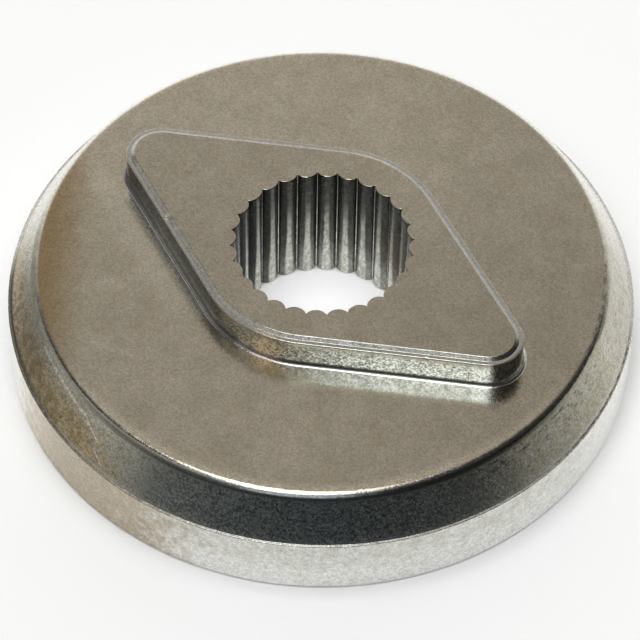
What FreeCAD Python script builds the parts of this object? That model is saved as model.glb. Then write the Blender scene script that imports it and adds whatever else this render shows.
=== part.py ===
import FreeCAD, Part
import math
import os

# Mower blade adapter: one sintered steel body, sizes in millimetres and angles in degrees.
# +Z is up, the underside lies on Z = 0 and the lozenge boss points along X.

# Disc
DISC_DIAMETER = 63.5
RIM_HEIGHT = 6.85
RIM_LAND = 0.25
CHAMFER_RUN = 2.55
DISC_HEIGHT = 11.5
TOP_EDGE_RADIUS = 1.1
BOTTOM_EDGE_BREAK = 0.3

# Lozenge boss that keys into the blade
BOSS_HEIGHT = 3.5
BOSS_ACROSS_SIDES = 25.9
BOSS_POINT_ANGLE = 55.7
BOSS_POINT_RADIUS = 3.5
BOSS_BLUNT_RADIUS = 11.85
BOSS_LAND = 0.45
BOSS_BEVEL_RUN = 0.4
BOSS_BEVEL_DROP = 0.25
BOSS_FOOT_RADIUS = 0.15

# Serrated bore for the spindle
SERRATION_COUNT = 28
SERRATION_ROOT_DIAMETER = 18.5
SERRATION_DEPTH = 0.6

# Values that follow from the sizes above
DISC_RADIUS = DISC_DIAMETER / 2
TOP_HEIGHT = DISC_HEIGHT + BOSS_HEIGHT
AXIS = FreeCAD.Vector(0, 0, 1)
ORIGIN = FreeCAD.Vector(0, 0, 0)
TOUCH = 1e-4


def polar(radius, angle, z):
    """Point at a radius and an angle in radians."""
    return FreeCAD.Vector(radius * math.cos(angle), radius * math.sin(angle), z)


def line(a, b):
    """Straight edge between two points."""
    return Part.makeLine(a, b)


def arc(a, middle, b):
    """Circular edge through three points."""
    return Part.Arc(a, middle, b).toShape()


def disc():
    """Turned disc: wall, land, steep chamfer, rounded top edge and flat faces."""
    land_radius = DISC_RADIUS - RIM_LAND
    corner_radius = land_radius - CHAMFER_RUN
    slope = math.atan2(DISC_HEIGHT - RIM_HEIGHT, CHAMFER_RUN)
    reach = TOP_EDGE_RADIUS * math.tan(slope / 2)
    flat_end = corner_radius - reach
    chamfer_end = corner_radius + reach * math.cos(slope)
    chamfer_top = DISC_HEIGHT - reach * math.sin(slope)
    centre_height = DISC_HEIGHT - TOP_EDGE_RADIUS
    middle_radius = flat_end + TOP_EDGE_RADIUS * math.sin(slope / 2)
    middle_height = centre_height + TOP_EDGE_RADIUS * math.cos(slope / 2)

    def at(radius, height):
        return FreeCAD.Vector(radius, 0, height)

    profile = [
        line(at(0, 0), at(DISC_RADIUS - BOTTOM_EDGE_BREAK, 0)),
        line(at(DISC_RADIUS - BOTTOM_EDGE_BREAK, 0), at(DISC_RADIUS, BOTTOM_EDGE_BREAK)),
        line(at(DISC_RADIUS, BOTTOM_EDGE_BREAK), at(DISC_RADIUS, RIM_HEIGHT)),
        line(at(DISC_RADIUS, RIM_HEIGHT), at(land_radius, RIM_HEIGHT)),
        line(at(land_radius, RIM_HEIGHT), at(chamfer_end, chamfer_top)),
        arc(at(chamfer_end, chamfer_top), at(middle_radius, middle_height), at(flat_end, DISC_HEIGHT)),
        line(at(flat_end, DISC_HEIGHT), at(0, DISC_HEIGHT)),
        line(at(0, DISC_HEIGHT), at(0, 0)),
    ]
    return Part.Face(Part.Wire(profile)).revolve(ORIGIN, AXIS, 360)


def lozenge(inset, z):
    """Closed outline of the boss, drawn in from its wall by an inset."""
    half = math.radians(BOSS_POINT_ANGLE) / 2
    side = BOSS_ACROSS_SIDES / 2
    point_centre = (side - BOSS_POINT_RADIUS) / math.sin(half)
    blunt_centre = (side - BOSS_BLUNT_RADIUS) / math.cos(half)
    point_radius = BOSS_POINT_RADIUS - inset
    blunt_radius = BOSS_BLUNT_RADIUS - inset
    right = math.pi / 2
    corners = [
        (FreeCAD.Vector(point_centre, 0, z), point_radius, 0, right - half),
        (FreeCAD.Vector(0, blunt_centre, z), blunt_radius, right, half),
        (FreeCAD.Vector(-point_centre, 0, z), point_radius, 2 * right, right - half),
        (FreeCAD.Vector(0, -blunt_centre, z), blunt_radius, 3 * right, half),
    ]
    arcs = []
    for centre, radius, heading, spread in corners:
        start = centre + polar(radius, heading - spread, 0)
        middle = centre + polar(radius, heading, 0)
        end = centre + polar(radius, heading + spread, 0)
        arcs.append((start, middle, end))
    edges = []
    for index, (start, middle, end) in enumerate(arcs):
        following = arcs[(index + 1) % len(arcs)][0]
        edges.append(arc(start, middle, end))
        edges.append(line(end, following))
    return Part.Wire(edges)


def boss():
    """Lozenge boss with a narrow land and a bevel round its top face."""
    land_height = TOP_HEIGHT - BOSS_BEVEL_DROP
    body = Part.Face(lozenge(0, RIM_HEIGHT)).extrude(AXIS * (land_height - RIM_HEIGHT))
    foot = lozenge(BOSS_LAND, land_height)
    crown = lozenge(BOSS_LAND + BOSS_BEVEL_RUN, TOP_HEIGHT)
    return body.fuse(Part.makeLoft([foot, crown], True, True))


def foot_edges(shape):
    """Edges where the boss wall meets the disc's top face."""
    side = BOSS_ACROSS_SIDES / 2
    reach = side / math.sin(math.radians(BOSS_POINT_ANGLE) / 2)
    found = []
    for edge in shape.Edges:
        box = edge.BoundBox
        level = abs(box.ZMin - DISC_HEIGHT) < TOUCH and abs(box.ZMax - DISC_HEIGHT) < TOUCH
        if level and edge.Vertexes[0].Point.Length < math.hypot(reach, DISC_HEIGHT) and edge.Length < reach:
            found.append(edge)
    return found


def serrated_bore():
    """Cutter for the bore: round crests that meet in sharp roots."""
    root = SERRATION_ROOT_DIAMETER / 2
    crest = root - SERRATION_DEPTH
    pitch = 2 * math.pi / SERRATION_COUNT
    edges = []
    for index in range(SERRATION_COUNT):
        angle = index * pitch
        edges.append(arc(polar(root, angle, 0), polar(crest, angle + pitch / 2, 0), polar(root, angle + pitch, 0)))
    return Part.Face(Part.Wire(edges)).extrude(AXIS * TOP_HEIGHT)


def blade_adapter():
    """The whole adapter as one solid."""
    body = disc().fuse(boss()).removeSplitter()
    body = body.makeFillet(BOSS_FOOT_RADIUS, foot_edges(body))
    body = body.cut(serrated_bore())
    return body.Solids[0]


os.makedirs("parts", exist_ok=True)
adapter = blade_adapter()
adapter.exportStep("parts/blade_adapter.step")
box = adapter.optimalBoundingBox(False, False)
print("valid", adapter.isValid(), "faces", len(adapter.Faces), "volume", round(adapter.Volume, 1))
print("size", round(box.XLength, 3), round(box.YLength, 3), round(box.ZLength, 3))
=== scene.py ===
# %% [markdown]
# A mower blade adapter is one solid lump of sintered steel: iron powder is pressed in a die
# and baked. It slides on the mower's spindle, and its lozenge boss drives the blade.
# The packed CAD model gives the frame, so the scene is built in metres in that same frame:
# the underside lies on Z = 0, the bore runs along Z and the boss points along X.

# %% Load the frame
import bpy
import math
from mathutils import Matrix, Vector


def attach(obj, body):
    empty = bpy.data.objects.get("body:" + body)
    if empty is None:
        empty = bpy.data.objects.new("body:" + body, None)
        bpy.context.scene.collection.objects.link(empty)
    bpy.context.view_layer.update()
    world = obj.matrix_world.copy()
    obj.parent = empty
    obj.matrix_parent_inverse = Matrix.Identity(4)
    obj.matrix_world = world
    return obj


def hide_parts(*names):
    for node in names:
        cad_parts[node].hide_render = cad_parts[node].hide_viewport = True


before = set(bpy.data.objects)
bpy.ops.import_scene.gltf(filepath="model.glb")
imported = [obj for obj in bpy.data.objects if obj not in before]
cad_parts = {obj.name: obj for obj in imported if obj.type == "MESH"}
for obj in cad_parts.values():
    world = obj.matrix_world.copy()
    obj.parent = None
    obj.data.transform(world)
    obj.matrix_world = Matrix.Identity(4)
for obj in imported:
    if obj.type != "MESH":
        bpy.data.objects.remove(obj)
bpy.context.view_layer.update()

# %% [markdown]
# The sizes are the ones that the CAD model was made from. They are kept in millimetres, as on
# a workshop drawing, and turned into metres only where Blender needs them.

# %% Sizes in millimetres
MM = 0.001
disc_radius = 31.75
rim_height = 6.85
rim_land = 0.25
chamfer_run = 2.55
disc_height = 11.5
top_edge_radius = 1.1
bottom_break = 0.3
boss_height = 3.5
boss_side = 12.95
boss_half_angle = math.radians(55.7 / 2)
boss_point_radius = 3.5
boss_blunt_radius = 11.85
boss_land = 0.45
bevel_run = 0.4
bevel_drop = 0.25
teeth = 28
root_radius = 9.25
tooth_depth = 0.6
top_height = disc_height + boss_height
land_height = top_height - bevel_drop
land_radius = disc_radius - rim_land
corner_radius = land_radius - chamfer_run
print("overall", 2 * disc_radius, "mm across,", top_height, "mm high")

# %% [markdown]
# A pressed edge is never quite sharp, and its rounding is what catches the light as a bright
# line. A Bevel modifier could round every edge alike. Here the section is drawn point by point
# anyway, so each edge gets the rounding that its own bright line in the photograph asks for.
# The foot of the boss shows a broad line, so its rounding is wider than the CAD's 0.15 mm.

# %% Edge roundings in millimetres
bore_lower_rounding = 0.12
bore_upper_rounding = 0.08
bevel_upper_rounding = 0.12
bevel_lower_rounding = 0.08
boss_edge_rounding = 0.1
foot_rounding = 0.4
chamfer_foot_rounding = 0.06
rim_edge_rounding = 0.08
bottom_rounding = 0.15
print("edges rounded from", chamfer_foot_rounding, "to", foot_rounding, "mm")

# %% [markdown]
# A rounded corner is an arc that touches both of its sides. One more point stands close beside
# each end of the arc. It keeps the smooth shading of the arc from spreading over the flat face,
# as a supporting edge loop does when modelling by hand.

# %% Round the corners of a section
def turned(start, end, part):
    """Turns one arm of an arc towards the other."""
    angle = start.angle(end)
    return (start * math.sin((1 - part) * angle) + end * math.sin(part * angle)) / math.sin(angle)


def rounded(corners, segments, support):
    """Turns (x, z, radius) corners into a line with arcs and a support point beside each arc."""
    line = []
    for index, (x, z, radius) in enumerate(corners):
        here = Vector((x, z))
        if index in (0, len(corners) - 1):
            line.append(here)
            continue
        before = (Vector(corners[index - 1][:2]) - here).normalized()
        after = (Vector(corners[index + 1][:2]) - here).normalized()
        half = before.angle(after) / 2
        reach = radius / math.tan(half)
        centre = here + (before + after).normalized() * (radius / math.sin(half))
        start = here + before * reach
        end = here + after * reach
        line.append(start + before * support)
        for step in range(segments + 1):
            line.append(centre + turned(start - centre, end - centre, step / segments))
        line.append(end + after * support)
    return line


def divided(line, longest):
    """Adds points on runs longer than a given length."""
    points = [line[0]]
    for start, end in zip(line, line[1:]):
        count = max(1, math.ceil((end - start).length / longest))
        points += [start.lerp(end, step / count) for step in range(1, count + 1)]
    return points


sample_corner = rounded([(0, 0, 0), (1, 0, 0.2), (1, 1, 0)], segments=4, support=0.05)
print("a corner of four segments takes", len(sample_corner) - 2, "points")

# %% [markdown]
# The whole body is one closed surface swept round the bore. A turned part would need one
# section and a circle to sweep it on. This one follows three outlines: the serrations in the
# bore, the lozenge of the boss and the circle of the disc. So each point of the section also
# says which outline it follows and how far it stands off from it. A flat face between two
# outlines is a blend from one to the other.

# %% Add points to the section
SERRATION, LOZENGE, CIRCLE = 0, 1, 2
OUTLINES = (SERRATION, LOZENGE, CIRCLE)
FLAT, EDGE, BORE, PLAIN = (1, 0, 0), (0, 1, 0), (0, 0, 1), (0, 0, 0)
section = []


def add_ring(shares, offsets, height, zone, wear):
    """Adds one point of the section, with its share of each outline and its offset from it."""
    section.append(
        {
            "share": [shares.get(outline, 0.0) for outline in OUTLINES],
            "offset": [offsets.get(outline, 0.0) for outline in OUTLINES],
            "height": height,
            "zone": zone,
            "wear": wear,
        }
    )


def follow(outline, line, zone_of, wear_of):
    """Adds a line that keeps to one outline."""
    for point in line:
        add_ring({outline: 1.0}, {outline: point.x}, point.y, zone_of(point), wear_of(point))


def blend(first, first_offset, second, second_offset, height, steps):
    """Adds a flat face from one outline to another."""
    for step in range(1, steps):
        part = step / steps
        offsets = {first: first_offset, second: second_offset}
        add_ring({first: 1 - part, second: part}, offsets, height, FLAT, 0.0)


print("the section follows", len(OUTLINES), "outlines")

# %% [markdown]
# The section starts at the bottom of the bore, runs up its wall and out across the boss. Each
# point gets a mark for the finish and a depth that wear may reach there. The bore is gripped by
# the spindle and hardly rubbed, so its wear is slight.

# %% Section of the bore
bore_lower_margin = 0.5
bore_upper_margin = 0.4
boss_inner_margin = -1.3
wall_touch = 0.02
bore_wall_wear = 0.02
bore_edge_wear = 0.03


def bore_zone(point):
    """Bore wall, or the flat face beside it."""
    return BORE if point.x < wall_touch else FLAT


def bore_wear(point):
    """The wall and its edges wear a little, the flat face not at all."""
    if point.x < wall_touch:
        return bore_wall_wear
    return bore_edge_wear if point.x < bore_lower_rounding else 0.0


bore_corners = [
    (bore_lower_margin, 0, 0),
    (0, 0, bore_lower_rounding),
    (0, top_height, bore_upper_rounding),
    (bore_upper_margin, top_height, 0),
]
bore_line = divided(rounded(bore_corners, segments=3, support=0.03), longest=1.6)
follow(SERRATION, bore_line, bore_zone, bore_wear)
blend(SERRATION, bore_upper_margin, LOZENGE, boss_inner_margin, top_height, steps=5)
print("bore and boss face have", len(section), "points")

# %% [markdown]
# The boss has a bevel and a narrow land round its top, which lead the blade on. The blade knocks
# against them, so they are marked as worn edge and may wear most. The land falls outwards by a
# hair, so that it doesn't mirror exactly what the top face mirrors.

# %% Section of the boss
boss_outer_margin = 1.0
land_fall = 0.02
bevel_top = -boss_land - bevel_run
worn_above = land_height - 0.2
boss_edge_wear = 0.05
boss_wall_wear = 0.015


def boss_zone(point):
    """Worn bevel and land, flat face, or bare wall."""
    if point.y > worn_above and point.x > bevel_top - 0.02:
        return EDGE
    return FLAT if point.x < -0.5 or point.x > foot_rounding + 0.03 else PLAIN


def boss_wear(point):
    """The bevel and the land wear most."""
    if point.y > worn_above and point.x > bevel_top - 0.05:
        return boss_edge_wear
    return boss_wall_wear if -0.1 < point.x < 0.3 else 0.0


boss_corners = [
    (boss_inner_margin, top_height, 0),
    (bevel_top, top_height, bevel_upper_rounding),
    (-boss_land, land_height, bevel_lower_rounding),
    (0, land_height - land_fall, boss_edge_rounding),
    (0, disc_height, foot_rounding),
    (boss_outer_margin, disc_height, 0),
]
boss_line = divided(rounded(boss_corners, segments=4, support=0.04), longest=0.7)
follow(LOZENGE, boss_line, boss_zone, boss_wear)
print("with the boss", len(section), "points")

# %% [markdown]
# The disc goes on from the foot of the boss: flat seat, large rounding, steep chamfer, a land a
# quarter of a millimetre wide, the plain wall, and the flat underside back to the bore. The rim
# is what knocks against a bench, so it wears most.

# %% Section of the disc
flat_end = corner_radius - 1.4
bottom_flat = disc_radius - 1.2
rim_wear = 0.06
disc_edge_wear = 0.03


def disc_zone(point):
    """Flat top face, worn rim, or bare wall."""
    if point.y > disc_height - 0.02:
        return FLAT
    return EDGE if abs(point.y - rim_height) < 0.12 and point.x > land_radius - 0.1 else PLAIN


def disc_wear(point):
    """The rim wears most, and the underside not at all."""
    if abs(point.y - rim_height) < 0.2:
        return rim_wear
    return disc_edge_wear if point.x > corner_radius - 0.6 and point.y > 0.4 else 0.0


disc_corners = [
    (flat_end, disc_height, 0),
    (corner_radius, disc_height, top_edge_radius),
    (land_radius, rim_height, chamfer_foot_rounding),
    (disc_radius, rim_height - land_fall, rim_edge_rounding),
    (disc_radius, bottom_break, bottom_rounding),
    (disc_radius - bottom_break, 0, bottom_rounding),
    (bottom_flat, 0, 0),
]
blend(LOZENGE, boss_outer_margin, CIRCLE, flat_end, disc_height, steps=6)
disc_line = divided(rounded(disc_corners, segments=6, support=0.05), longest=0.8)
follow(CIRCLE, disc_line, disc_zone, disc_wear)
blend(CIRCLE, bottom_flat, SERRATION, bore_lower_margin, 0, steps=4)
section.append(section[0])
print("whole section has", len(section), "points")

# %% [markdown]
# Geometry Nodes can't read a Python list, but they can read a mesh. So the section becomes a
# chain of points on the axis, each at its height, and the rest of what it says goes with it as
# named attributes.

# %% Keep the section as a mesh
def add_object(name, data):
    """Puts a new object into the scene."""
    new_object = bpy.data.objects.new(name, data)
    bpy.context.scene.collection.objects.link(new_object)
    return new_object


section_mesh = bpy.data.meshes.new("section")
section_edges = [(index, index + 1) for index in range(len(section) - 1)]
section_mesh.from_pydata([(0, 0, ring["height"] * MM) for ring in section], section_edges, [])
for name, scale in (("share", 1), ("offset", MM), ("zone", 1)):
    values = section_mesh.attributes.new(name, "FLOAT_VECTOR", "POINT")
    values.data.foreach_set("vector", [value * scale for ring in section for value in ring[name]])
wear_values = section_mesh.attributes.new("wear", "FLOAT", "POINT")
wear_values.data.foreach_set("value", [ring["wear"] * MM for ring in section])
section_object = add_object("section", section_mesh)
print("section mesh has", len(section_mesh.vertices), "points")

# %% [markdown]
# Handling leaves nicks on the edges. They could be sculpted one by one. Here they are a handful
# of points in space, and the sweep pushes the surface in wherever it passes near one of them,
# so they can be moved or added without touching the surface.

# %% Places of the nicks
nick_points = [
    (28.6, 6.2, 11.25),
    (-14.6, -6.4, 14.85),
    (3.4, 12.0, 14.9),
    (18.6, -22.6, 11.3),
    (16.8, -5.9, 14.85),
]
nick_mesh = bpy.data.meshes.new("nicks")
nick_mesh.from_pydata([tuple(value * MM for value in point) for point in nick_points], [], [])
nick_object = add_object("nicks", nick_mesh)
print("nicks", len(nick_points))

# %% [markdown]
# The sweep itself is a Geometry Nodes tree. It starts from a flat grid, one row for each point
# of the section and one column for each station round the bore, and moves every grid point to
# its place. Both seams of the grid are then merged, which leaves a closed skin of quads. Curve
# to Mesh can't do this, because the section changes its outline on the way. A tree written in
# Python gets long, so a few short calls add the nodes that this lesson uses.

# %% Node helpers
class Tree:
    """A node tree with short calls for the nodes that this lesson uses."""

    def __init__(self, tree):
        self.tree = tree

    def put(self, socket, value):
        """Links an input to a socket, or sets it to a plain value."""
        if isinstance(value, bpy.types.NodeSocket):
            self.tree.links.new(value, socket)
        else:
            socket.default_value = value

    def node(self, kind, inputs=None, **settings):
        """Adds a node, with its settings first and then its inputs."""
        node = self.tree.nodes.new(kind)
        for name, value in settings.items():
            setattr(node, name, value)
        for key, value in (inputs or {}).items():
            self.put(node.inputs[key], value)
        return node

    def math(self, operation, *values):
        """Adds a Math node."""
        return self.node("ShaderNodeMath", dict(enumerate(values)), operation=operation).outputs[0]

    def vector(self, operation, *values):
        """Adds a Vector Math node."""
        node = self.node("ShaderNodeVectorMath", dict(enumerate(values)), operation=operation)
        return node.outputs["Value" if operation in ("DOT_PRODUCT", "LENGTH", "DISTANCE") else "Vector"]

    def scale(self, vector, amount):
        """Multiplies a vector or a colour by a number."""
        inputs = {0: vector, "Scale": amount}
        return self.node("ShaderNodeVectorMath", inputs, operation="SCALE").outputs["Vector"]

    def split(self, vector):
        """Takes a vector apart."""
        return self.node("ShaderNodeSeparateXYZ", {0: vector}).outputs

    def join(self, x, y, z):
        """Puts a vector together."""
        return self.node("ShaderNodeCombineXYZ", {0: x, 1: y, 2: z}).outputs[0]

    def ramp(self, value, low, high, out_low=0.0, out_high=1.0, smooth=True):
        """Goes from one level at low to another at high, and stays level past both."""
        inputs = {0: value, 1: low, 2: high, 3: out_low, 4: out_high}
        kind = "SMOOTHSTEP" if smooth else "LINEAR"
        return self.node("ShaderNodeMapRange", inputs, interpolation_type=kind).outputs[0]

    def noise(self, vector, scale, detail, roughness, seed=None):
        """Adds a noise; a seed gives another pattern of the same kind."""
        inputs = {"Vector": vector, "Scale": scale, "Detail": detail, "Roughness": roughness}
        node = self.node("ShaderNodeTexNoise", inputs)
        if seed is not None:
            node.noise_dimensions = "4D"
            self.put(node.inputs["W"], seed)
        return node.outputs[0]

    def count(self, name):
        """Says how many nodes the tree has by now."""
        print(name, "has", len(self.tree.nodes), "nodes")


print("node calls", [name for name in vars(Tree) if not name.startswith("_")])

# %% [markdown]
# The sizes go into the tree as named inputs, so that the same sweep can make an adapter with
# other teeth or another boss. Each input is set by the identifier of its socket, which stays the
# same when a name is changed.

# %% Inputs of the sweep
sweep = bpy.data.node_groups.new("Adapter sweep", "GeometryNodeTree")
sweep.interface.new_socket(name="Geometry", in_out="OUTPUT", socket_type="NodeSocketGeometry")
sweep_inputs = [
    ("Section", "NodeSocketObject", section_object),
    ("Nicks", "NodeSocketObject", nick_object),
    ("Teeth", "NodeSocketInt", teeth),
    ("Stations per tooth", "NodeSocketInt", 26),
    ("Root radius", "NodeSocketFloat", root_radius * MM),
    ("Tooth depth", "NodeSocketFloat", tooth_depth * MM),
    ("Boss side", "NodeSocketFloat", boss_side * MM),
    ("Boss half angle", "NodeSocketFloat", boss_half_angle),
    ("Point radius", "NodeSocketFloat", boss_point_radius * MM),
    ("Blunt radius", "NodeSocketFloat", boss_blunt_radius * MM),
    ("Wear scale", "NodeSocketFloat", 900.0),
    ("Nick radius", "NodeSocketFloat", 0.4 * MM),
    ("Nick depth", "NodeSocketFloat", 0.1 * MM),
    ("Seed", "NodeSocketFloat", 4.0),
    ("Finish", "NodeSocketMaterial", None),
]
identifiers = {}
for name, kind, value in sweep_inputs:
    socket = sweep.interface.new_socket(name=name, in_out="INPUT", socket_type=kind)
    identifiers[name] = socket.identifier
geo = Tree(sweep)
given = geo.node("NodeGroupInput").outputs
print("sweep takes", len(sweep_inputs), "inputs")

# %% [markdown]
# The points of a grid are numbered row by row. So the number alone says which row of the section
# and which station round the bore a point belongs to. Half a step is added before the division,
# so that rounding can't put a point in the wrong row.

# %% Rows and stations
section_shape = geo.node("GeometryNodeObjectInfo", {"Object": given["Section"]}).outputs["Geometry"]
section_size = geo.node("GeometryNodeAttributeDomainSize", {0: section_shape}, component="MESH")
stations = geo.math("MULTIPLY", given["Teeth"], given["Stations per tooth"])
columns = geo.math("ADD", stations, 1.0)
grid_size = {"Vertices X": section_size.outputs["Point Count"], "Vertices Y": columns}
grid = geo.node("GeometryNodeMeshGrid", grid_size).outputs["Mesh"]
index = geo.node("GeometryNodeInputIndex").outputs[0]
row = geo.math("FLOOR", geo.math("DIVIDE", geo.math("ADD", index, 0.5), columns))
station = geo.math("SUBTRACT", index, geo.math("MULTIPLY", row, columns))
turn = geo.math("DIVIDE", station, stations)
theta = geo.math("MULTIPLY", turn, 2 * math.pi)
geo.count("sweep")

# %% [markdown]
# Each grid point looks up what the section says for its row. Sample Index does that: it reads a
# value from one geometry while another one is being moved.

# %% Read the section
def named(name, kind="FLOAT_VECTOR"):
    """Reads a named attribute."""
    node = geo.node("GeometryNodeInputNamedAttribute", {"Name": name}, data_type=kind)
    return node.outputs["Attribute"]


def on_row(value, kind="FLOAT_VECTOR"):
    """Takes a value of the section for the row of each grid point."""
    inputs = {"Geometry": section_shape, "Value": value, "Index": row}
    return geo.node("GeometryNodeSampleIndex", inputs, data_type=kind).outputs[0]


position = geo.node("GeometryNodeInputPosition").outputs[0]
share = geo.split(on_row(named("share")))
offset = geo.split(on_row(named("offset")))
height = geo.split(on_row(position))[2]
zone = on_row(named("zone"))
wear = on_row(named("wear", "FLOAT"), "FLOAT")
geo.count("sweep")

# %% [markdown]
# Each serration is one arc that bulges towards the spindle, and neighbours meet in a sharp
# root, as in the photograph. Seen from the bore's middle, the arc's distance at any angle is
# where a ray first meets the circle that the arc belongs to. A sine wave would be simpler, but
# its roots would be round.

# %% Serration outline
pitch = geo.math("DIVIDE", 2 * math.pi, given["Teeth"])
half_pitch = geo.math("MULTIPLY", pitch, 0.5)
crest = geo.math("SUBTRACT", given["Root radius"], given["Tooth depth"])
root_along = geo.math("MULTIPLY", given["Root radius"], geo.math("COSINE", half_pitch))
root_across = geo.math("MULTIPLY", given["Root radius"], geo.math("SINE", half_pitch))
rise = geo.math("SUBTRACT", root_along, crest)
chord = geo.math("ADD", geo.math("POWER", rise, 2.0), geo.math("POWER", root_across, 2.0))
arc_radius = geo.math("DIVIDE", chord, geo.math("MULTIPLY", rise, 2.0))
arc_centre = geo.math("ADD", crest, arc_radius)
phase = geo.math("FRACT", geo.math("MULTIPLY", turn, given["Teeth"]))
swing = geo.math("MULTIPLY", geo.math("SUBTRACT", phase, 0.5), pitch)
across = geo.math("MULTIPLY", arc_centre, geo.math("SINE", swing))
left_over = geo.math("SUBTRACT", geo.math("POWER", arc_radius, 2.0), geo.math("POWER", across, 2.0))
middle = geo.math("MULTIPLY", arc_centre, geo.math("COSINE", swing))
serration = geo.math("SUBTRACT", middle, geo.math("SQRT", left_over))
groove = geo.math("DIVIDE", geo.math("SUBTRACT", serration, crest), given["Tooth depth"])
serration = geo.math("ADD", serration, offset[SERRATION])
print("serrations", teeth, "of", round(2 * math.pi * root_radius / teeth, 3), "mm")

# %% [markdown]
# The lozenge has four straight sides, two tight points and two blunt corners. Folding the
# angle into one quarter leaves three cases: a ray meets the point's arc, the side or the
# blunt corner's arc. An offset moves the side and grows both arcs about the same centres.

# %% Lozenge outline
cos_turn = geo.math("ABSOLUTE", geo.math("COSINE", theta))
sin_turn = geo.math("ABSOLUTE", geo.math("SINE", theta))
folded = geo.math("ARCTAN2", sin_turn, cos_turn)
sin_half = geo.math("SINE", given["Boss half angle"])
cos_half = geo.math("COSINE", given["Boss half angle"])
point_centre = geo.math("DIVIDE", geo.math("SUBTRACT", given["Boss side"], given["Point radius"]), sin_half)
blunt_centre = geo.math("DIVIDE", geo.math("SUBTRACT", given["Boss side"], given["Blunt radius"]), cos_half)
side = geo.math("ADD", given["Boss side"], offset[LOZENGE])
point_radius = geo.math("ADD", given["Point radius"], offset[LOZENGE])
blunt_radius = geo.math("ADD", given["Blunt radius"], offset[LOZENGE])


def ray_to_arc(centre, along, away, radius):
    """Distance along a ray to the far side of an arc."""
    gap = geo.math("MULTIPLY", centre, away)
    inside = geo.math("SUBTRACT", geo.math("POWER", radius, 2.0), geo.math("POWER", gap, 2.0))
    reach = geo.math("SQRT", geo.math("MAXIMUM", inside, 0.0))
    return geo.math("MULTIPLY_ADD", centre, along, reach)


side_lean = geo.math("MULTIPLY_ADD", sin_turn, cos_half, geo.math("MULTIPLY", cos_turn, sin_half))
to_side = geo.math("DIVIDE", side, side_lean)
to_point = ray_to_arc(point_centre, cos_turn, sin_turn, point_radius)
to_blunt = ray_to_arc(blunt_centre, sin_turn, cos_turn, blunt_radius)
point_x = geo.math("MULTIPLY_ADD", point_radius, sin_half, point_centre)
point_end = geo.math("ARCTAN2", geo.math("MULTIPLY", point_radius, cos_half), point_x)
blunt_y = geo.math("MULTIPLY_ADD", blunt_radius, cos_half, blunt_centre)
blunt_end = geo.math("ARCTAN2", blunt_y, geo.math("MULTIPLY", blunt_radius, sin_half))
in_point = geo.math("LESS_THAN", folded, point_end)
in_blunt = geo.math("GREATER_THAN", folded, blunt_end)
lozenge = geo.math("MULTIPLY_ADD", in_point, geo.math("SUBTRACT", to_point, to_side), to_side)
lozenge = geo.math("MULTIPLY_ADD", in_blunt, geo.math("SUBTRACT", to_blunt, to_side), lozenge)
print("lozenge", 2 * boss_side, "mm between its sides")

# %% [markdown]
# Every grid point now gets its radius from the three outlines. Its marks are stored first, so
# that the finish can tell a flat face from an edge or the bore later on.

# %% Put the grid in place
radius = geo.math("MULTIPLY", share[SERRATION], serration)
radius = geo.math("MULTIPLY_ADD", share[LOZENGE], lozenge, radius)
radius = geo.math("MULTIPLY_ADD", share[CIRCLE], offset[CIRCLE], radius)
place_along = geo.math("MULTIPLY", radius, geo.math("COSINE", theta))
place_across = geo.math("MULTIPLY", radius, geo.math("SINE", theta))
place = geo.join(place_along, place_across, height)
marked = grid
marks = (("zone", "FLOAT_VECTOR", zone), ("wear", "FLOAT", wear), ("groove", "FLOAT", groove))
for name, kind, value in marks:
    inputs = {"Geometry": marked, "Name": name, "Value": value}
    keep = geo.node("GeometryNodeStoreNamedAttribute", inputs, data_type=kind, domain="POINT")
    marked = keep.outputs[0]
placed = geo.node("GeometryNodeSetPosition", {"Geometry": marked, "Position": place})
merged = geo.node("GeometryNodeMergeByDistance", {"Geometry": placed.outputs[0], "Distance": 1e-7})
geo.count("sweep")

# %% [markdown]
# Wear is a little noise along the normal, only where the section allows it, so that an edge's
# bright line breaks up as on a used part. The tree ends by making everything real and giving
# it the finish.

# %% Wear and nicks
wear_middle = 0.55
normal = geo.node("GeometryNodeInputNormal").outputs[0]
rub = geo.noise(position, given["Wear scale"], detail=3.0, roughness=0.6, seed=given["Seed"])
rub = geo.math("MULTIPLY", geo.math("SUBTRACT", rub, wear_middle), named("wear", "FLOAT"))
nick_shape = geo.node("GeometryNodeObjectInfo", {"Object": given["Nicks"]}).outputs["Geometry"]
nick_gap = geo.node("GeometryNodeProximity", {0: nick_shape}, target_element="POINTS").outputs["Distance"]
dent = geo.ramp(nick_gap, 0.0, given["Nick radius"], given["Nick depth"], 0.0)
push = geo.scale(normal, geo.math("SUBTRACT", rub, dent))
worn = geo.node("GeometryNodeSetPosition", {"Geometry": merged.outputs[0], "Offset": push})
smooth = geo.node("GeometryNodeSetShadeSmooth", {"Geometry": worn.outputs[0], "Shade Smooth": True})
real = geo.node("GeometryNodeRealizeInstances", {0: smooth.outputs[0]})
finished = geo.node("GeometryNodeSetMaterial", {"Geometry": real.outputs[0], "Material": given["Finish"]})
geo.node("NodeGroupOutput", {0: finished.outputs[0]})
geo.count("sweep")

# %% [markdown]
# Sintered steel is a satin metal with a fine grain, not a mirror: each powder grain was pressed
# flat and reflects a little differently. The flat faces keep a thin brown film of oil and oxide,
# the edges are rubbed bright, and there is a little rust where water stood. All of it is one
# material on Object coordinates in millimetres, with the marks from the sweep. Painting an
# image would need an unwrap; masks made from places and noise need none.

# %% Start the finish
def start_nodes(owner):
    """Gives a material or a world an empty node tree."""
    owner.use_nodes = True
    owner.node_tree.nodes.clear()
    return Tree(owner.node_tree)


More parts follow.
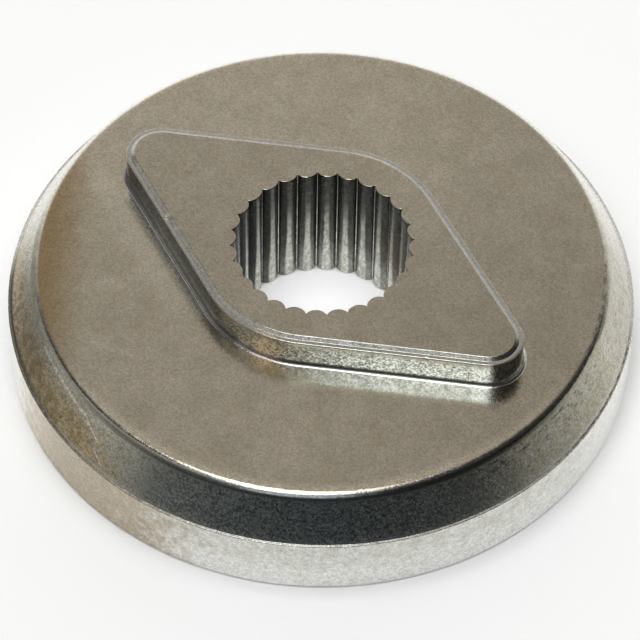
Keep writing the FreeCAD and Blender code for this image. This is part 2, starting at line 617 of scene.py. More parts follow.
steel = bpy.data.materials.new("sintered_steel")
mat = start_nodes(steel)
spot = mat.scale(mat.node("ShaderNodeTexCoord").outputs["Object"], 1 / MM)
flat, edge, bore = mat.split(mat.node("ShaderNodeAttribute", attribute_name="zone").outputs["Vector"])
groove_mark = mat.node("ShaderNodeAttribute", attribute_name="groove").outputs["Fac"]
true_normal = mat.node("ShaderNodeNewGeometry").outputs["Normal"]
mat.count("finish")

# %% [markdown]
# A mask is a number from nought to one that says how much of a finish a point has. Masks are
# multiplied where all have to hold. A tone is a brightness near one that the colour is
# multiplied by in the end. Mix nodes lay one colour over another by a mask.

# %% Helpers for masks and tones
def overlap(first, *more):
    """One only where all of the masks are one."""
    for mask in more:
        first = mat.math("MULTIPLY", first, mask)
    return first


def neither(first, *more):
    """One only where none of the marks is."""
    for mark in more:
        first = mat.math("ADD", first, mark)
    return mat.math("SUBTRACT", 1.0, first)


def band(value, rise, fall):
    """One between a rising and a falling border."""
    return overlap(mat.ramp(value, *rise), mat.ramp(value, fall[1], fall[0]))


def shift(tone, mask, amount):
    """Adds an amount to a tone where a mask is one."""
    return mat.math("MULTIPLY_ADD", mask, amount, tone)


def vary(tone, mask, amount):
    """Raises a tone by a share of itself where a mask is one; a negative share lowers it."""
    return mat.math("MULTIPLY", tone, shift(1.0, mask, amount))


def tint(amount, first, second):
    """Mixes two colours, each a socket or red, green and blue."""
    node = mat.node("ShaderNodeMix", {"Factor": amount}, data_type="RGBA")
    for number, given_colour in ((6, first), (7, second)):
        solid = (*given_colour, 1.0) if isinstance(given_colour, tuple) else given_colour
        mat.put(node.inputs[number], solid)
    return node.outputs[2]


print("helpers", [helper.__name__ for helper in (overlap, neither, band, shift, vary, tint)])

# %% [markdown]
# Stains, dirt and rubbed places lie at certain sides of the part. So directions get names once:
# four as seen by the photographer, and three square to the straight sides of the boss. A mask
# then asks how far out a point lies in one of these directions, or how far from an edge.

# %% Directions and distances
view_turn = 34.8925
RIGHT, FRONT, BACK, LEFT = view_turn, view_turn - 90, view_turn + 90, view_turn - 180
side_turn = 90 - math.degrees(boss_half_angle)
NEAR_RIGHT, NEAR_LEFT, FAR_RIGHT = -side_turn, side_turn - 180, side_turn


def facing(degrees):
    """How far out a point lies in one direction round the bore, in millimetres."""
    angle = math.radians(degrees)
    return mat.vector("DOT_PRODUCT", spot, (math.cos(angle), math.sin(angle), 0.0))


def past(value, limit):
    """How far a value goes beyond a limit."""
    return mat.math("SUBTRACT", value, limit)


to_right, to_front, to_back, to_left = (facing(degrees) for degrees in (RIGHT, FRONT, BACK, LEFT))
right_gap, left_gap, far_gap = (
    past(facing(degrees), boss_side) for degrees in (NEAR_RIGHT, NEAR_LEFT, FAR_RIGHT)
)
along_right, along_left = (facing(degrees + 90) for degrees in (NEAR_RIGHT, NEAR_LEFT))
place_x, place_y, place_z = mat.split(spot)
above_rim = past(place_z, rim_height)
above_seat = past(place_z, disc_height)
above_land = past(place_z, land_height)
from_axis = mat.vector("LENGTH", mat.join(place_x, place_y, 0.0))
past_corner = past(from_axis, corner_radius)
past_land = past(from_axis, land_radius)
print("the front lies at", round(FRONT, 1), "degrees")

# %% [markdown]
# The marks from the sweep tell flat, edge and bore apart. Heights and distances tell the rest:
# chamfer, outer wall, blade seat, and the top and walls of the boss. A border is a soft ramp, not
# a step, so that no finish ends in a jagged line.

# %% Faces of the adapter
inside = mat.ramp(past_corner, -0.95, -1.95)
chamfer = overlap(mat.ramp(past_corner, -0.45, -0.05), mat.ramp(above_rim, 0.05, 0.35))
steep = overlap(chamfer, mat.ramp(above_seat, -0.55, -0.75))
raised = overlap(inside, mat.ramp(above_seat, -0.1, 0.1))
blade_seat = overlap(flat, mat.ramp(above_seat, 0.2, 0.1))
boss_top = overlap(flat, mat.ramp(above_land, -0.25, 0.05))
boss_wall = overlap(raised, neither(flat, edge, bore))
wall_and_bore = overlap(raised, neither(flat, edge), mat.ramp(above_seat, 0.3, 0.45))
rim_wall = overlap(mat.ramp(past_land, 0.0, 0.2), mat.ramp(above_rim, 0.05, -0.15))
rim_edge = overlap(edge, mat.ramp(past_land, -1.5, -0.5))
low = mat.ramp(above_rim, 0.15, -0.05)
on_right = mat.ramp(right_gap, -6.95, -1.45)
on_far = mat.ramp(far_gap, -2.45, -1.45)
mat.count("finish")

# %% [markdown]
# Grain in a sintered part has several sizes: single powder grains, clusters of them, and broad
# clouds where the film is thicker. Each is one noise with a scale of its own. Cells from a
# Voronoi texture stand for single grains, since each grain has one tone of its own.

# %% Grain of the steel
grain = mat.noise(spot, scale=4.2, detail=3.0, roughness=0.6)
patch = mat.noise(spot, scale=0.3, detail=4.0, roughness=0.6)
cloud = mat.noise(spot, scale=0.9, detail=3.0, roughness=0.6, seed=2.0)
hue = mat.noise(spot, scale=0.55, detail=3.0, roughness=0.6, seed=11.0)
cluster = mat.noise(spot, scale=2.7, detail=2.0, roughness=0.5, seed=3.0)
mottle = mat.noise(spot, scale=1.7, detail=4.0, roughness=0.7, seed=7.0)
tall_spot = mat.join(place_x, place_y, mat.math("MULTIPLY", place_z, 0.5))
bore_grain = mat.noise(tall_spot, scale=2.6, detail=4.0, roughness=0.7, seed=5.0)
around = mat.math("MULTIPLY", mat.math("ARCTAN2", to_right, to_front), 12.0)
fleck = mat.noise(mat.join(around, from_axis, place_z), scale=2.6, detail=3.0, roughness=0.65)
powder = mat.node("ShaderNodeTexVoronoi", {"Vector": spot, "Scale": 6.2}).outputs["Color"]
powder_tone, powder_gloss = mat.split(powder)[:2]
mat.count("finish")

# %% [markdown]
# The flat faces carry the film: two browns in broad patches, with a breath of olive. The walls
# are bare grey metal, with painted light that makes the foot of the outer wall palest. The
# chamfer is browner; painted reflection gives its front a cooler grey and its back a paler one.

# %% Film and bare metal
film_brown, film_tan, film_olive = (0.49, 0.428, 0.33), (0.572, 0.507, 0.402), (0.478, 0.452, 0.348)
wall_grey, wall_dull, wall_foot_light = (0.64, 0.64, 0.60), (0.54, 0.525, 0.465), (0.79, 0.79, 0.755)
chamfer_grey, chamfer_brown = (0.47, 0.457, 0.405), (0.42, 0.392, 0.315)
chamfer_front_reflection, chamfer_back_reflection = (0.46, 0.465, 0.44), (0.66, 0.64, 0.585)
boss_grey = (0.555, 0.55, 0.515)
film = tint(mat.ramp(patch, 0.3, 0.7), film_brown, film_tan)
film = tint(mat.ramp(hue, 0.38, 0.62, 0.0, 0.4), film, film_olive)
bare = tint(mat.ramp(cloud, 0.4, 0.75), wall_grey, wall_dull)
# Painted light: the foot of the outer wall is paler.
bare = tint(mat.ramp(place_z, 5.5, 0.5, 0.0, 0.9), bare, wall_foot_light)
chamfer_tone = tint(mat.ramp(cloud, 0.35, 0.65), chamfer_grey, chamfer_brown)
# Painted reflection: a cooler grey on the front of the chamfer, a paler one on its back.
chamfer_tone = tint(mat.ramp(to_front, 22.0, 28.0), chamfer_tone, chamfer_front_reflection)
chamfer_tone = tint(mat.ramp(to_back, -2.0, 12.0), chamfer_tone, chamfer_back_reflection)
bare = tint(chamfer, bare, chamfer_tone)
bare = tint(raised, bare, boss_grey)
colour = tint(flat, bare, film)
mat.count("finish")

# %% [markdown]
# Edges are rubbed, so they have a grey of their own, paler at the rim. The bore is slightly
# green from old grease. The fold between the bevel and the land is darker on the far side.

# %% Edges and bore
edge_grey, rim_grey, bore_grey = (0.45, 0.44, 0.385), (0.62, 0.61, 0.57), (0.56, 0.575, 0.49)
far_fold_dark = (0.2, 0.19, 0.16)
colour = tint(overlap(edge, 0.7), colour, tint(rim_edge, edge_grey, rim_grey))
colour = tint(overlap(bore, 0.6), colour, bore_grey)
# Darker in the fold between the bevel and the land, on the far side only.
bevel_fold = overlap(edge, band(above_land, (0.005, 0.025), (0.05, 0.1)), on_far, 0.55)
colour = tint(bevel_fold, colour, far_fold_dark)
mat.count("finish")

# %% [markdown]
# Beside the boss the seat gets painted light. On the near right side a broad strip is painted
# bright, a painted reflection of the wall above it. On the near left side a narrow pale strip
# with a bright line at its foot is a painted highlight, and the rubbed film beyond it is thinner.

# %% Painted bright strips and thin film beside the boss
right_mirror_pale, left_sheen_pale = (0.92, 0.89, 0.79), (0.86, 0.84, 0.74)
left_highlight_white, thin_film = (0.92, 0.92, 0.86), (0.66, 0.61, 0.505)
# Painted reflection of the near right wall: a broad bright strip on the seat.
right_wall_mirror_strip = overlap(blade_seat, band(right_gap, (-0.05, 0.15), (1.95, 2.45)))
right_wall_mirror_strip = overlap(right_wall_mirror_strip, band(along_right, (-1.0, 4.0), (18.5, 20.0)))
right_wall_mirror_strip = overlap(right_wall_mirror_strip, mat.ramp(grain, 0.35, 0.6, 0.3, 1.0))
colour = tint(right_wall_mirror_strip, colour, right_mirror_pale)
# Painted highlight: a pale strip and a bright line at the foot of the near left wall.
left_foot_sheen = overlap(blade_seat, band(left_gap, (0.15, 0.25), (0.75, 1.25)))
left_foot_sheen = overlap(left_foot_sheen, band(along_left, (-18.0, -16.5), (0.0, 2.0)))
colour = tint(overlap(left_foot_sheen, 0.8), colour, left_sheen_pale)
left_foot_highlight = overlap(left_foot_sheen, mat.ramp(left_gap, 0.65, 0.45))
colour = tint(left_foot_highlight, colour, left_highlight_white)
rubbed_left = overlap(blade_seat, band(left_gap, (1.15, 1.65), (2.55, 4.55)))
rubbed_left = overlap(rubbed_left, mat.ramp(along_left, 2.0, -3.0), 0.35)
colour = tint(rubbed_left, colour, thin_film)
mat.count("finish")

# %% [markdown]
# Water and old oil left brown stains at the left: on the top face, on the chamfer and on the
# wall, each with a ragged border. The stain on the chamfer is also painted shade that darkens the
# left of the chamfer. A stain could be painted by hand. Here it is a mask by direction, with its
# border pushed about by the cloud noise.

# %% Stains, and painted shade on the chamfer
top_stain_turn, chamfer_stain_shade_turn, wall_stain_turn = -147, -126, -104
top_brown, wall_brown = (0.365, 0.27, 0.15), (0.42, 0.36, 0.27)
stain_shade_dark, stain_shade_pale = (0.32, 0.23, 0.125), (0.46, 0.365, 0.23)
ragged = mat.math("MULTIPLY", mat.math("SUBTRACT", cloud, 0.5), 6.0)
top_stain = overlap(mat.ramp(shift(facing(top_stain_turn), ragged, 0.45), 22.5, 28.0), flat)
colour = tint(top_stain, colour, top_brown)
# The chamfer stain is a brown stain and painted shade on the left of the chamfer at once.
chamfer_stain_and_shade = mat.ramp(shift(facing(chamfer_stain_shade_turn), ragged, 1.0), 25.5, 29.0)
chamfer_stain_and_shade = overlap(chamfer_stain_and_shade, chamfer, 0.9, mat.ramp(shift(place_z, ragged, 0.35), 10.9, 8.8))
colour = tint(chamfer_stain_and_shade, colour, tint(mat.ramp(cloud, 0.4, 0.6), stain_shade_dark, stain_shade_pale))
wall_stain = overlap(mat.ramp(shift(facing(wall_stain_turn), ragged, 1.0), 27.5, 31.5), low)
colour = tint(wall_stain, colour, wall_brown)
print("stains face", top_stain_turn, chamfer_stain_shade_turn, wall_stain_turn, "degrees")

# %% [markdown]
# A little rust sits on the near blunt corner of the boss and in the bore, where water stood. It
# is a ball round a point with a ragged skin, so that it runs over an edge as real rust does.

# %% Rust
rust_orange = (0.80, 0.60, 0.36)


def near(point, reach, raggedness):
    """One near a point, fading to nothing at a ragged reach in millimetres."""
    wave = mat.math("SUBTRACT", mat.noise(spot, scale=0.45, detail=3.0, roughness=0.6), 0.5)
    gap = shift(mat.vector("DISTANCE", spot, point), wave, raggedness)
    return mat.ramp(gap, reach, 0.0)


corner_rust = near((2.3, -12.9, 13.0), reach=2.8, raggedness=1.6)
bore_rust = near((4.5, 7.6, 8.0), reach=5.0, raggedness=4.0)
rust = mat.math("MAXIMUM", corner_rust, overlap(bore_rust, 0.7))
rust = overlap(rust, mat.ramp(grain, 0.25, 0.5))
colour = tint(rust, colour, rust_orange)
mat.count("finish")

# %% [markdown]
# The corner between the chamfer and the rim is darkened in broken strokes, mostly at the left
# and in front. The rounding at the boss's foot gets painted shade on its upper half and a painted
# highlight on its lower half, both darker at the near right and at the far left point.

# %% Dark corners, and painted light at the boss's foot
corner_black = (0.11, 0.098, 0.078)
foot_shade, foot_deep_shade = (0.22, 0.21, 0.18), (0.12, 0.115, 0.1)
foot_highlight, foot_dim_highlight = (0.92, 0.92, 0.85), (0.62, 0.62, 0.58)
# Darker in the corner at the chamfer's foot and along the rim at the left.
rim_corner_dark = overlap(band(past_land, (-0.1, 0.0), (0.1, 0.18)), band(above_rim, (-0.15, -0.07), (0.1, 0.2)))
rim_corner_dark = overlap(rim_corner_dark, mat.ramp(fleck, 0.4, 0.52, 0.25, 1.0))
rim_corner_dark = overlap(rim_corner_dark, mat.ramp(to_front, 25.5, 16.0, 0.12, 0.9), mat.ramp(to_front, 1.0, 8.0))
left_rim_dark = overlap(mat.ramp(to_left, 23.0, 31.0), mat.ramp(past_land, -0.6, -0.4))
left_rim_dark = overlap(left_rim_dark, band(above_rim, (-0.15, -0.05), (0.1, 0.65)))
left_rim_dark = overlap(left_rim_dark, mat.ramp(to_front, -6.0, 0.0, 0.0, 0.85))
colour = tint(mat.math("MAXIMUM", rim_corner_dark, left_rim_dark), colour, corner_black)
# Painted shade on the upper half of the boss's foot rounding, painted highlight on its lower half.
boss_foot = overlap(neither(flat, bore), inside, mat.ramp(above_seat, 0.5, 0.2), 0.75)
foot_dimmer = mat.math("MAXIMUM", on_right, mat.ramp(place_x, -18.5, -21.0))
foot_upper = tint(foot_dimmer, foot_shade, foot_deep_shade)
foot_lower = tint(foot_dimmer, foot_highlight, foot_dim_highlight)
colour = tint(boss_foot, colour, tint(mat.ramp(above_seat, 0.11, 0.04), foot_upper, foot_lower))
mat.count("finish")

# %% [markdown]
# A scratch shows bare metal along a straight run. Each run is two points, a width and a
# strength, and a bent scratch is a chain of runs. The mask is the distance to the nearest
# point of the run, so a scratch stays sharp however near the camera comes.

# %% Scratches
scratch_bright = (0.78, 0.76, 0.70)
scratch_lines = [
    ((8.58, 5.08, 15.0), (9.16, 5.91, 15.0), 0.16, 0.22),
    ((9.16, 5.91, 15.0), (10.53, 7.27, 15.0), 0.16, 0.3),
    ((11.31, 5.96, 15.0), (12.32, 6.62, 15.0), 0.16, 0.22),
    ((-12.1, -21.8, 11.5), (-8.95, -20.6, 11.5), 1.0, 0.14),
    ((-16.36, -24.38, 10.75), (-13.73, -25.98, 10.7), 0.3, 0.7),
    ((-13.73, -25.98, 10.7), (-11.33, -27.21, 10.55), 0.35, 0.7),
    ((-10.98, -27.38, 10.5), (-8.22, -28.47, 10.25), 0.3, 0.7),
    ((-8.22, -28.47, 10.25), (-5.83, -29.7, 9.1), 0.16, 0.7),
    ((-8.42, -28.67, 9.8), (-6.91, -29.1, 9.75), 0.12, 0.7),
    ((-6.04, -30.08, 8.35), (-4.54, -30.89, 7.35), 0.14, 0.7),
]


def scratch(start, end, width):
    """One along a straight scratch, fading to nothing at a width in millimetres."""
    run = Vector(end) - Vector(start)
    out = mat.vector("SUBTRACT", spot, start)
    along = mat.vector("DOT_PRODUCT", out, tuple(run / run.length_squared))
    nearest = mat.scale(tuple(run), mat.ramp(along, 0.0, 1.0, smooth=False))
    return mat.ramp(mat.vector("DISTANCE", out, nearest), width, 0.0)


scratches = 0.0
for start, end, width, strength in scratch_lines:
    scratches = mat.math("MAXIMUM", scratches, overlap(scratch(start, end, width), strength))
colour = tint(scratches, colour, scratch_bright)
print("scratches have", len(scratch_lines), "straight runs")

# %% [markdown]
# In a real room each serration mirrors its neighbours and the light at both ends of the bore.
# A plain white floor and soft lamps don't give all of that, so part of it is painted as tone:
# dark flanks, crests that brighten towards the bottom, and thin bright roots. The groove mark
# from the sweep is nought on a crest and one in a root.

# %% Light and dark in the bore
view_side = (math.cos(math.radians(FRONT)), math.sin(math.radians(FRONT)), 0.0)
flank_start = mat.ramp(place_z, 0.5, 7.0, 0.05, 0.003)
flank_full = mat.ramp(place_z, 0.5, 7.0, 0.24, 0.09)
flank = overlap(mat.ramp(groove_mark, flank_start, flank_full), mat.ramp(groove_mark, 0.97, 0.82))
flank = overlap(flank, mat.ramp(mat.vector("DOT_PRODUCT", true_normal, view_side), -0.1, 0.3, 0.25, 1.0))
flank_tone = mat.math("ADD", mat.ramp(place_z, 0.5, 6.0, 0.52, 0.2), mat.ramp(place_z, 9.0, 14.0, 0.0, 0.2))
flank_tone = overlap(flank_tone, mat.ramp(to_right, -7.5, 0.0, 0.35, 1.0))
dark_crest = overlap(mat.ramp(groove_mark, 0.14, 0.0), mat.ramp(place_z, 8.0, 11.5))
dark_crest = overlap(dark_crest, band(to_right, (-6.5, -3.0), (4.0, 7.0)))
bright_root = overlap(mat.ramp(groove_mark, 0.88, 0.97), mat.ramp(place_z, 2.0, 6.0))
bore_tone = mat.ramp(place_z, 1.0, 14.0, 0.76, 0.2)
bore_tone = vary(bore_tone, flank, past(flank_tone, 1.0))
bore_tone = vary(bore_tone, dark_crest, -0.55)
bore_tone = vary(bore_tone, bright_root, 0.45)
bore_tone = shift(1.0, bore, past(bore_tone, 1.0))
mat.count("finish")

# %% [markdown]
# The outside mirrors a room that isn't known, either, so its faces get painted light and shade
# from side to side. The back of the chamfer and the sides of the wall are painted paler, the far
# bevel darker, and the film a little darker at the right. The front of the rounded edge shows one
# bright line, so the steel just below that line gets painted shade where a second one would show,
# and the film just above it a painted highlight.

# %% Light and dark by side
lit = overlap(mat.ramp(to_back, -20.0, 28.0, 1.0, 1.17), mat.ramp(to_right, 8.0, 31.0, 1.0, 1.06))
lit = shift(lit, overlap(mat.ramp(mat.math("ABSOLUTE", to_right), 25.0, 31.0), low), 0.4)
lit = shift(lit, chamfer, mat.ramp(to_back, 3.0, 16.0, 0.0, 0.3))
lit = shift(lit, overlap(edge, mat.ramp(above_land, 0.03, 0.1), on_far), -0.25)
below_line = overlap(mat.ramp(past_corner, -0.17, 0.0), mat.ramp(above_seat, -0.6, -0.45))
lit = shift(lit, overlap(below_line, mat.ramp(to_front, 14.0, 22.0)), -0.5)
above_line = overlap(flat, mat.ramp(past_corner, -1.75, -0.65))
lit = shift(lit, overlap(above_line, mat.ramp(to_front, 12.0, 20.0)), 0.3)
flat_lit = shift(1.0, flat, mat.ramp(to_right, 2.0, 26.0, 0.0, -0.19))
flat_lit = vary(flat_lit, boss_top, mat.ramp(place_x, 4.0, -12.0, -0.05, -0.12))
mat.count("finish")

# %% [markdown]
# The near right wall of the boss gets painted light towards its point and a painted highlight
# there. The near left wall gets painted shade, most of all near the blunt corner, at its foot and
# at the far end.

# %% Light and dark on the boss walls
right_wall = overlap(boss_wall, on_right)
right_level = mat.ramp(along_right, -2.0, 14.0, -0.34, 0.12)
lit = vary(lit, right_wall, overlap(right_level, mat.ramp(along_right, -3.0, -1.2)))
lit = shift(lit, overlap(right_wall, band(place_x, (20.8, 21.8), (22.1, 22.6))), 0.4)
left_wall = overlap(boss_wall, mat.ramp(left_gap, -6.95, -1.45), mat.ramp(place_x, -0.2, -1.6))
left_level = mat.ramp(place_x, -4.5, -3.0, -0.17, -0.38)
left_level = mat.math("ADD", left_level, mat.ramp(place_z, 13.0, 12.3, 0.0, -0.2))
left_level = mat.math("ADD", left_level, mat.ramp(place_x, -15.0, -18.0, 0.0, -0.2))
lit = vary(lit, left_wall, left_level)
mat.count("finish")

# %% [markdown]
# Last comes the speckle of single grains. It is strongest on the near right wall of the boss
# and on the dark front of the chamfer, and faint on the film. Dark flecks lie along the rounded
# edge and the chamfer at the right. No metal reflects everything, so the colour has a ceiling.

# %% Speckle and flecks
brightest_steel = (0.92, 0.92, 0.9)
chamfer_speckle = overlap(steep, mat.ramp(to_right, 4.0, 24.0, 0.5, 0.06))
chamfer_speckle = overlap(chamfer_speckle, mat.ramp(to_right, -24.0, -8.0, 0.3, 1.0))
wall_speckle = overlap(wall_and_bore, mat.ramp(right_gap, -6.95, -1.45, 0.1, 1.0))
speckle = mat.math("ADD", shift(0.16, wall_speckle, 0.42), chamfer_speckle)
shade = shift(1.0, mat.math("SUBTRACT", powder_tone, 0.5), mat.math("MULTIPLY", speckle, 2.0))
shade = vary(shade, overlap(wall_and_bore, on_right), mat.ramp(cluster, 0.35, 0.65, -0.26, 0.26))
shade = vary(shade, rim_wall, mat.ramp(mottle, 0.3, 0.7, -0.14, 0.14))
edge_flecks = overlap(band(past_corner, (-0.65, -0.5), (-0.3, -0.1)), mat.ramp(fleck, 0.46, 0.56))
edge_flecks = overlap(edge_flecks, mat.ramp(to_right, 24.0, 27.0), mat.ramp(to_back, 6.0, 0.0))
shade = vary(shade, edge_flecks, -0.45)
chamfer_flecks = overlap(steep, mat.ramp(place_z, 8.4, 10.0), mat.ramp(fleck, 0.53, 0.62))
shade = vary(shade, overlap(chamfer_flecks, band(to_right, (11.0, 19.0), (25.0, 30.0))), -0.4)
shade = vary(shade, steep, mat.ramp(fleck, 0.58, 0.7, 0.0, -0.35))
shade = vary(shade, bore, mat.ramp(bore_grain, 0.3, 0.7, -0.35, 0.35))
shade = overlap(shade, lit, flat_lit, bore_tone)
shaded = mat.vector("MINIMUM", mat.scale(colour, shade), brightest_steel)
mat.count("finish")

# %% [markdown]
# Each powder grain also leans its own way, so a wall glitters instead of mirroring evenly. The
# normal is leaned a little by the colour of its Voronoi cell, and a fine bump goes on top. Rust
# is dull and hardly metal, so it is rougher and less metallic.

# %% Gloss and lean of the grains
bump_depth = 0.03 * MM
gloss = mat.ramp(grain, 0.3, 0.75, 0.13, 0.27, smooth=False)
gloss = shift(gloss, overlap(steep, mat.ramp(cloud, 0.45, 0.7), powder_gloss), 0.2)
gloss = shift(gloss, rust, 0.4)
gloss = shift(gloss, rim_edge, 0.1)
lean_amount = shift(shift(0.02, wall_and_bore, 0.09), steep, 0.12)
lean = mat.scale(mat.vector("SUBTRACT", powder, (0.5, 0.5, 0.5)), lean_amount)
leaning = mat.vector("NORMALIZE", mat.vector("ADD", true_normal, lean))
bump_inputs = {"Strength": 0.35, "Distance": bump_depth, "Height": grain, "Normal": leaning}
surface_inputs = {
    "Base Color": shaded,
    "Roughness": gloss,
    "Metallic": mat.ramp(rust, 0.0, 1.0, 1.0, 0.25),
    "Normal": mat.node("ShaderNodeBump", bump_inputs).outputs[0],
}
surface = mat.node("ShaderNodeBsdfPrincipled", surface_inputs)
mat.node("ShaderNodeOutputMaterial", {"Surface": surface.outputs[0]})
mat.count("finish")

# %% [markdown]
# The sweep runs once, as a modifier on an empty mesh. Its result is copied to a plain mesh, and
# the helpers are removed, so that what is left is an ordinary object with one material. It
# takes the place of the CAD node, which has the same overall sizes and fewer faces.

# %% Make the body
blank = add_object("blank", bpy.data.meshes.new("blank"))
modifier = blank.modifiers.new("sweep", "NODES")
modifier.node_group = sweep
for name, kind, value in sweep_inputs:
    modifier[identifiers[name]] = steel if name == "Finish" else value
seen = blank.evaluated_get(bpy.context.evaluated_depsgraph_get())
adapter_mesh = bpy.data.meshes.new_from_object(seen)
adapter_mesh.name = "adapter_body"
adapter_mesh.materials.clear()
adapter_mesh.materials.append(steel)
adapter = add_object("adapter_body", adapter_mesh)
for helper in (blank, section_object, nick_object):
    bpy.data.objects.remove(helper)
print("adapter has", len(adapter_mesh.polygons), "faces")

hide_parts("blade_adapter")
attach(adapter, "root")

# %% [markdown]
# The photograph looks down at the part from its right front, through a long lens. These values
# come from fitting a camera to the outlines of the disc, the boss and the bore. They are set
# before the stage, because lamps and card stand by the camera's left, right and front.

# %% Where the camera stands
elevation = math.radians(51.298)
roll = math.radians(1.067)
distance = 476.25 * MM
image_width = 640
focal_pixels = 4659.341
aim_height = 2.5764 * MM
aside_pixels = 0.794
upward = Vector((0, 0, 1))
right = Vector((math.cos(math.radians(RIGHT)), math.sin(math.radians(RIGHT)), 0))
towards = Vector((math.cos(math.radians(FRONT)), math.sin(math.radians(FRONT)), 0))
back = towards * math.cos(elevation) + upward * math.sin(elevation)
print("camera looks from", tuple(round(value, 3) for value in back))

# %% [markdown]
# The photograph has a white ground. A pale floor takes the part's soft shadow. It glows a little
# below the bore, as a light table would, because the hole is pure white in the photograph.

# %% Floor
half_floor = 4.0
floor_drop = 0.02 * MM
glow_border = (9.3 * MM, 8.5 * MM)
glow_strength = 0.25
floor_mesh = bpy.data.meshes.new("floor")
floor_corners = [(x * half_floor, y * half_floor, 0) for x, y in ((-1, -1), (1, -1), (1, 1), (-1, 1))]
floor_mesh.from_pydata(floor_corners, [], [(0, 1, 2, 3)])
floor = add_object("floor", floor_mesh)
floor.location.z = -floor_drop
pale = bpy.data.materials.new("pale_floor")
paper = start_nodes(pale)
sheet = paper.node("ShaderNodeBsdfDiffuse", {"Color": (0.94, 0.94, 0.935, 1)})
from_bore = paper.vector("LENGTH", paper.node("ShaderNodeTexCoord").outputs["Object"])
glow = paper.node("ShaderNodeEmission", {"Strength": paper.ramp(from_bore, *glow_border, 0.0, glow_strength)})
lit_sheet = paper.node("ShaderNodeAddShader", {0: sheet.outputs[0], 1: glow.outputs[0]})
paper.node("ShaderNodeOutputMaterial", {"Surface": lit_sheet.outputs[0]})
floor_mesh.materials.append(pale)
print("floor is", 2 * half_floor, "m wide")

# %% [markdown]
# Metal shows what stands round it. In the photograph the front of the chamfer is almost black
# and its sides are pale, so something dark stood in front of the part. A curved card does the
# same here, as a studio flag does. Its tone changes round the part and from foot to top: a few
# columns give the tone, and the ones between them are blended.

# %% Tones of the card
# Angle from the front, then the tone at the foot and at the top of the card.
card_tones = [
    (-118, 0.95, 0.95),
    (-103, 0.36, 0.42),
    (-86, 0.26, 0.4),
    (-70, 0.33, 0.7),
    (-53, 0.46, 0.72),
    (-45, 0.35, 0.45),
    (-37, 0.19, 0.18),
    (-18, 0.12, 0.085),
    (0, 0.085, 0.055),
    (18, 0.083, 0.05),
    (37, 0.115, 0.04),
    (45, 0.25, 0.07),
    (53, 0.42, 0.2),
    (70, 0.7, 0.5),
    (86, 0.95, 0.85),
]
card_steps = 8
card_columns = []
for before, after in zip(card_tones, card_tones[1:]):
    for step in range(card_steps):
        part = step / card_steps
        card_columns.append([first + (second - first) * part for first, second in zip(before, after)])
card_columns.append(card_tones[-1])
print("card has", len(card_columns), "columns")

# %% [markdown]
# The card is a strip of faces whose points carry the tone, and it shines in that tone. Only
# reflections see it: it throws no shadow, and it lights no dull surface. Its dark middle is a
# little blue, like the dark steel in the photograph.

# %% Graded card
card_radius = 43 * MM
card_height = 18 * MM
blue_reach = 50
card_points = []
card_values = []
for degrees, foot_level, top_level in card_columns:
    angle = math.radians(degrees)
    stand = (right * math.sin(angle) + towards * math.cos(angle)) * card_radius
    card_points += [tuple(stand), tuple(stand + upward * card_height)]
    blueness = max(0.0, 1 - abs(degrees) / blue_reach)
    for level in (foot_level, top_level):
        card_values += [level * (1 - 0.16 * blueness), level, level * (0.94 + 0.12 * blueness), 1.0]
card_faces = [(2 * step, 2 * step + 2, 2 * step + 3, 2 * step + 1) for step in range(len(card_columns) - 1)]
card_mesh = bpy.data.meshes.new("graded_card")
card_mesh.from_pydata(card_points, [], card_faces)
card_mesh.attributes.new("tone", "FLOAT_COLOR", "POINT").data.foreach_set("color", card_values)
card = add_object("graded_card", card_mesh)
card_paint = bpy.data.materials.new("graded_card")
paint = start_nodes(card_paint)
tone = paint.node("ShaderNodeAttribute", attribute_name="tone").outputs["Color"]
painted = paint.node("ShaderNodeEmission", {"Color": tone, "Strength": 1.0})
paint.node("ShaderNodeOutputMaterial", {"Surface": painted.outputs[0]})
card_mesh.materials.append(card_paint)
card.visible_camera = False
card.visible_diffuse = False
card.visible_shadow = False
card.visible_transmission = False
print("card has", len(card_faces), "faces")

# %% [markdown]
# Three soft lamps light the part. The key lamp hangs overhead and draws the white line on the
# front of the rounded edge. The front lamp is seen twice mirrored, in the boss's near right wall
# by way of the top face, and makes that wall bright. The fill lamp is kept out of reflections
# and mainly whitens the floor.

# %% Lamps
def add_lamp(name, wide, deep, power, stand):
    """Hangs a soft lamp at a place and turns it to the adapter."""
    data = bpy.data.lights.new(name, "AREA")
    data.shape = "RECTANGLE"
    data.size = wide
    data.size_y = deep
    data.energy = power
    lamp = add_object(name, data)
    out = stand.normalized()
    level_side = (right - out * right.dot(out)).normalized()
    axes = Matrix((level_side, out.cross(level_side), out)).transposed().to_4x4()
    lamp.matrix_world = Matrix.Translation(stand) @ axes
    lamp.visible_camera = False
    return lamp


key_place = (towards * 0.015 - right * 0.075 + upward) * 2.0
front_place = (towards * 0.61 - right * 0.08 + upward * 0.78) * 2.0
fill_place = (towards * 0.22 + upward) * 3.0
key_lamp = add_lamp("key_lamp", wide=0.62, deep=1.2, power=10.8, stand=key_place)
front_lamp = add_lamp("front_lamp", wide=0.9, deep=0.7, power=3.3, stand=front_place)
front_lamp.data.color = (0.85, 0.95, 1.0)
fill_lamp = add_lamp("fill_lamp", wide=3.0, deep=3.0, power=57.0, stand=fill_place)
fill_lamp.visible_glossy = False
print("lamps", [lamp.name for lamp in (key_lamp, front_lamp, fill_lamp)])

# %% [markdown]
# The dome stands for the rest of the room. It is bright behind the part, which the film on the
# top face mirrors towards the camera, fairly bright at the left, and dark elsewhere, with a low
# band of light all round so that no side is black when seen from behind.

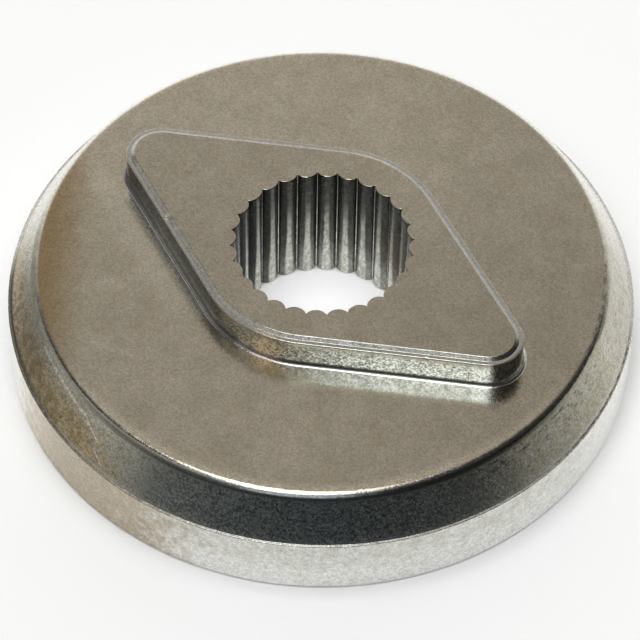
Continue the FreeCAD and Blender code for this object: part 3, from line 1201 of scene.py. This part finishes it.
# %% Dome
dome = bpy.data.worlds.new("dome")
bpy.context.scene.world = dome
sky = start_nodes(dome)
direction = sky.node("ShaderNodeTexCoord").outputs["Generated"]
dome_x, dome_y, up = sky.split(direction)
level_direction = sky.vector("NORMALIZE", sky.join(dome_x, dome_y, 0.0))
away = sky.vector("DOT_PRODUCT", level_direction, tuple(-towards))
behind = sky.ramp(sky.math("MULTIPLY_ADD", up, -0.45, away), 0.25, 0.6)
leftward = sky.ramp(sky.vector("DOT_PRODUCT", direction, tuple(towards * 0.6 - right * 0.8)), 0.3, 0.5)
not_front = sky.ramp(sky.vector("DOT_PRODUCT", direction, tuple(towards)), 0.28, 0.5, 1.0, 0.3)
left_glow = sky.math("MULTIPLY_ADD", sky.math("MULTIPLY", leftward, not_front), 0.52, 0.02)
low_band = sky.math("MULTIPLY", sky.ramp(up, 0.13, 0.2), sky.ramp(up, 0.45, 0.36))
side_glow = sky.math("MULTIPLY", sky.ramp(up, 0.2, 0.6), left_glow)
side_glow = sky.math("ADD", side_glow, sky.math("MULTIPLY_ADD", low_band, 0.3, 0.02))
back_glow = sky.ramp(up, 0.0, 1.0, 1.0, 0.34, smooth=False)
strength = sky.math("MULTIPLY_ADD", behind, sky.math("SUBTRACT", back_glow, side_glow), side_glow)
light = sky.node("ShaderNodeBackground", {"Color": (1.0, 0.98, 0.95, 1), "Strength": strength})
sky.node("ShaderNodeOutputWorld", {"Surface": light.outputs[0]})
sky.count("dome")

# %% [markdown]
# The fitted camera is put in place, with the small roll of the photograph. The Standard view
# transform keeps the white ground white.

# %% Camera
camera_data = bpy.data.cameras.new("camera")
camera_data.sensor_width = 36.0
camera_data.lens = focal_pixels * camera_data.sensor_width / image_width
camera_data.clip_start = 0.01
camera = add_object("camera", camera_data)
level_up = back.cross(right)
view_right = right * math.cos(roll) + level_up * math.sin(roll)
view_up = level_up * math.cos(roll) - right * math.sin(roll)
camera_place = back * distance + upward * aim_height - view_right * (aside_pixels / focal_pixels * distance)
camera_axes = Matrix((view_right, view_up, back)).transposed().to_4x4()
camera.matrix_world = Matrix.Translation(camera_place) @ camera_axes
bpy.context.scene.camera = camera
bpy.context.scene.view_settings.view_transform = "Standard"
print("lens", round(camera_data.lens, 1), "mm")

# %% [markdown]
